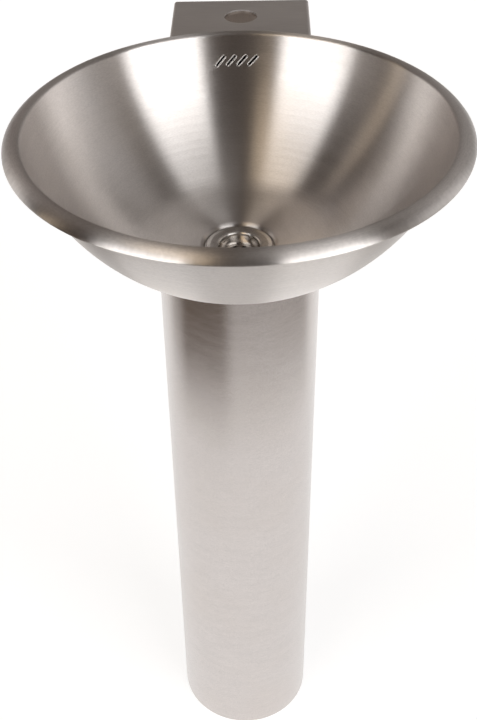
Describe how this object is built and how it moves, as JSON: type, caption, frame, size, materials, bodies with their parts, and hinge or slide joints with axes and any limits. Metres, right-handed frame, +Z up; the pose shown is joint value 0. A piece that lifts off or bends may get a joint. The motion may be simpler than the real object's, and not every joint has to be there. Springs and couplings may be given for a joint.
{
  "type": "pedestal drinking fountain",
  "caption": "Round stainless drinking fountain bowl with a strainer waste and rear tap ledge, on a tube pedestal that holds the bottle trap and stop valve.",
  "frame": {"origin": "on the floor, on the pedestal's axis, at the centre of the floor bolt circle", "axes": "+Z up, +Y from the bowl towards the wall, +X to the right for someone facing the wall"},
  "size_m": [0.4199, 0.51, 0.811],
  "materials": {
    "bowl_steel": "spun and brushed, satin",
    "ledge_steel": "fine matt ground",
    "pedestal_steel": "fine matt ground",
    "mill_steel": "mill finish",
    "cast_steel": "machined",
    "chrome_plate": "bright plated",
    "waste_chrome": "satin plated",
    "screw_steel": "passivated",
    "brass": "turned",
    "copper": "drawn tube",
    "rubber": "moulded",
    "white_plastic": "moulded",
    "fibre": "pressed fibre",
    "damping": "bitumen pad",
    "grip_plastic": "dipped sleeve"
  },
  "bodies": {
    "root": {"bowl": "bowl_steel", "damping_pad": "damping", "overflow_box": "mill_steel", "overflow_hose": "white_plastic", "hose_clips": "screw_steel", "tap_ledge": "ledge_steel", "hole_reinforcement": "mill_steel", "wall_plate": "mill_steel", "ledge_screws": "screw_steel", "earth_stud": "screw_steel", "earth_nuts": "brass", "waste_body": "waste_chrome", "waste_gasket": "rubber", "under_washer": "rubber", "overflow_banjo": "white_plastic", "fibre_washer": "fibre", "waste_backnut": "brass", "strainer": "waste_chrome", "strainer_screw": "screw_steel", "inlet_seal": "rubber", "inlet_nut": "chrome_plate", "inlet_tube": "chrome_plate", "body_seal": "rubber", "body_nut": "chrome_plate", "trap_body": "chrome_plate", "outlet_seal": "rubber", "outlet_nut": "chrome_plate", "outlet_pipe": "chrome_plate", "pipe_grommet": "rubber", "top_collar": "cast_steel", "pedestal": "pedestal_steel", "collar_screws": "screw_steel", "base_ring": "cast_steel", "base_screws": "screw_steel", "access_cover": "pedestal_steel", "cover_screws": "screw_steel", "supply_coupling": "brass", "supply_pipe": "copper", "valve_nut": "chrome_plate", "valve_body": "chrome_plate"},
    "stop_valve": {"valve_lever": "cast_steel", "lever_grip": "grip_plastic", "lever_nut": "screw_steel", "valve_stem": "brass", "valve_ball": "chrome_plate"},
    "cup_seal": {"cup_seal": "rubber"},
    "trap_cup": {"trap_cup": "chrome_plate"}
  },
  "joints": [
    {"name": "valve_turn", "type": "hinge", "parent": "root", "child": "stop_valve", "pos_m": [-0.054, 0.03, 0.372], "axis": [0, 1, 0], "range_deg": [0, 90]},
    {"name": "cup_drop", "type": "slide", "parent": "root", "child": "cup_seal", "axis": [0, 0, -1], "range_m": [0, 0.012]},
    {"name": "cup_turn", "type": "hinge", "parent": "cup_seal", "child": "trap_cup", "pos_m": [0, 0, 0.467], "axis": [0, 0, -1], "range_deg": [0, 1080]}
  ],
  "couplings": [
    {"joint": "cup_drop", "follows": "cup_turn", "m_per_rad": 0.0006366}
  ]
}
